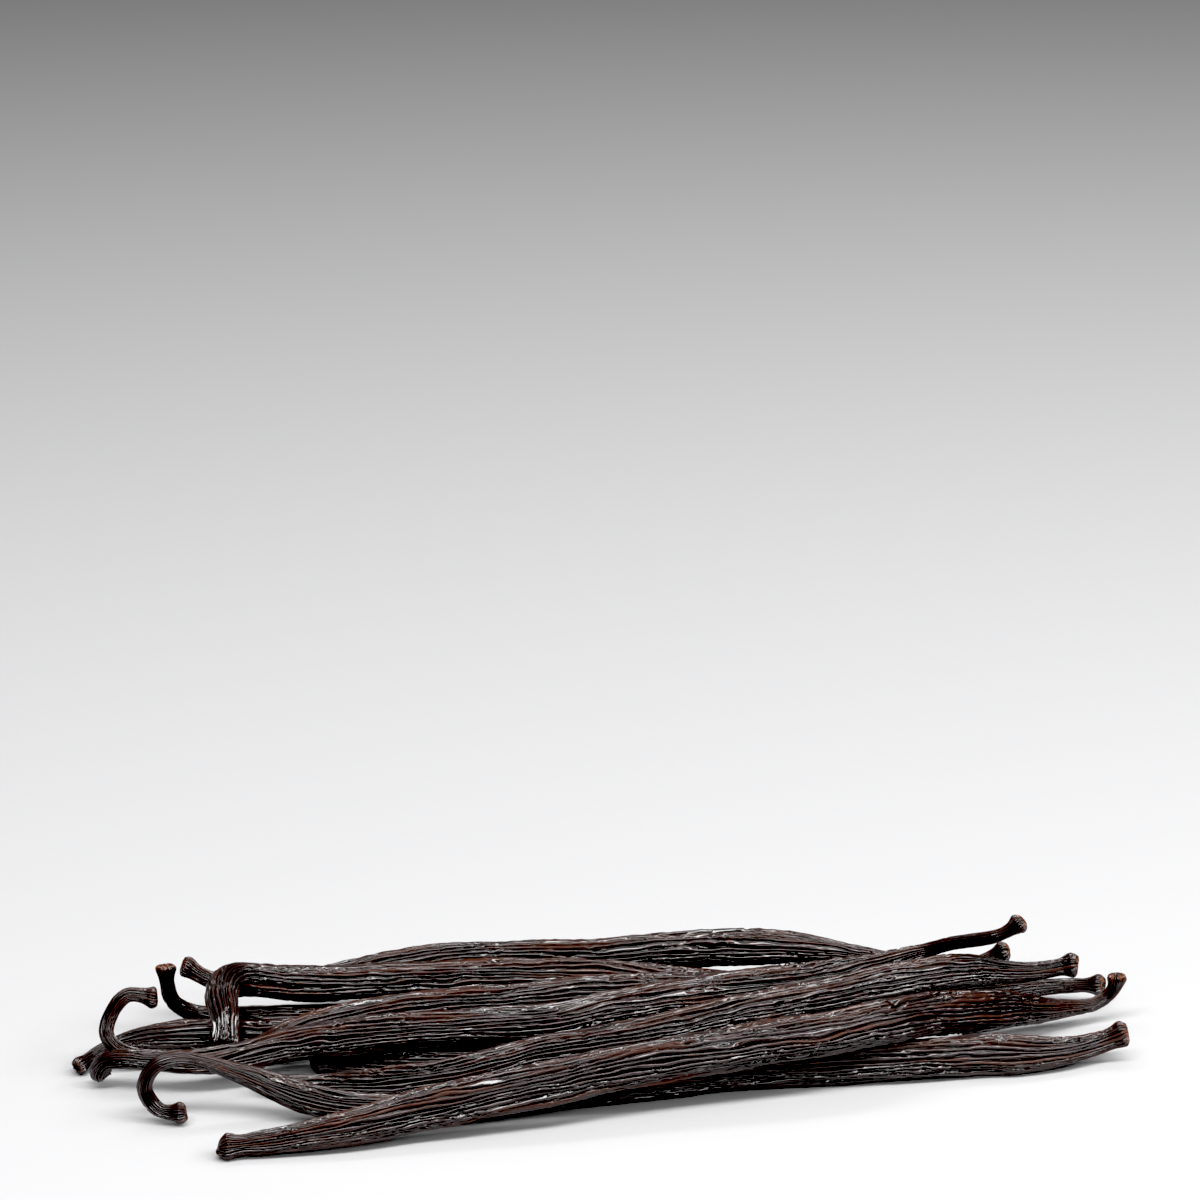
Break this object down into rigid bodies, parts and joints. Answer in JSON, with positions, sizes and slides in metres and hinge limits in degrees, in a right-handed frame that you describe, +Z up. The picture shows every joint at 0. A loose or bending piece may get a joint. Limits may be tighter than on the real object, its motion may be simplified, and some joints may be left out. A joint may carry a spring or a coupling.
{
  "type": "bundle of vanilla pods",
  "caption": "Loose bundle of long, slender, dark and wrinkled cured vanilla pods with hooked and flared stem ends, lying on one another on a flat surface.",
  "frame": {"origin": "centre of the footprint, on the surface that the pods lie on", "axes": "+X along the pods, towards the ends that rise; +Z up; -Y towards the viewer of the picture"},
  "size_m": [0.2016, 0.0837, 0.0235],
  "materials": {
    "pod_skin": "oily, finely wrinkled"
  },
  "bodies": {
    "root": {"pod_front": "pod_skin", "pod_hook": "pod_skin", "pod_core": "pod_skin", "pod_mid": "pod_skin", "pod_low": "pod_skin", "pod_upturn": "pod_skin", "pod_rise": "pod_skin", "pod_arch": "pod_skin", "pod_wrap": "pod_skin", "pod_back": "pod_skin"}
  },
  "joints": []
}
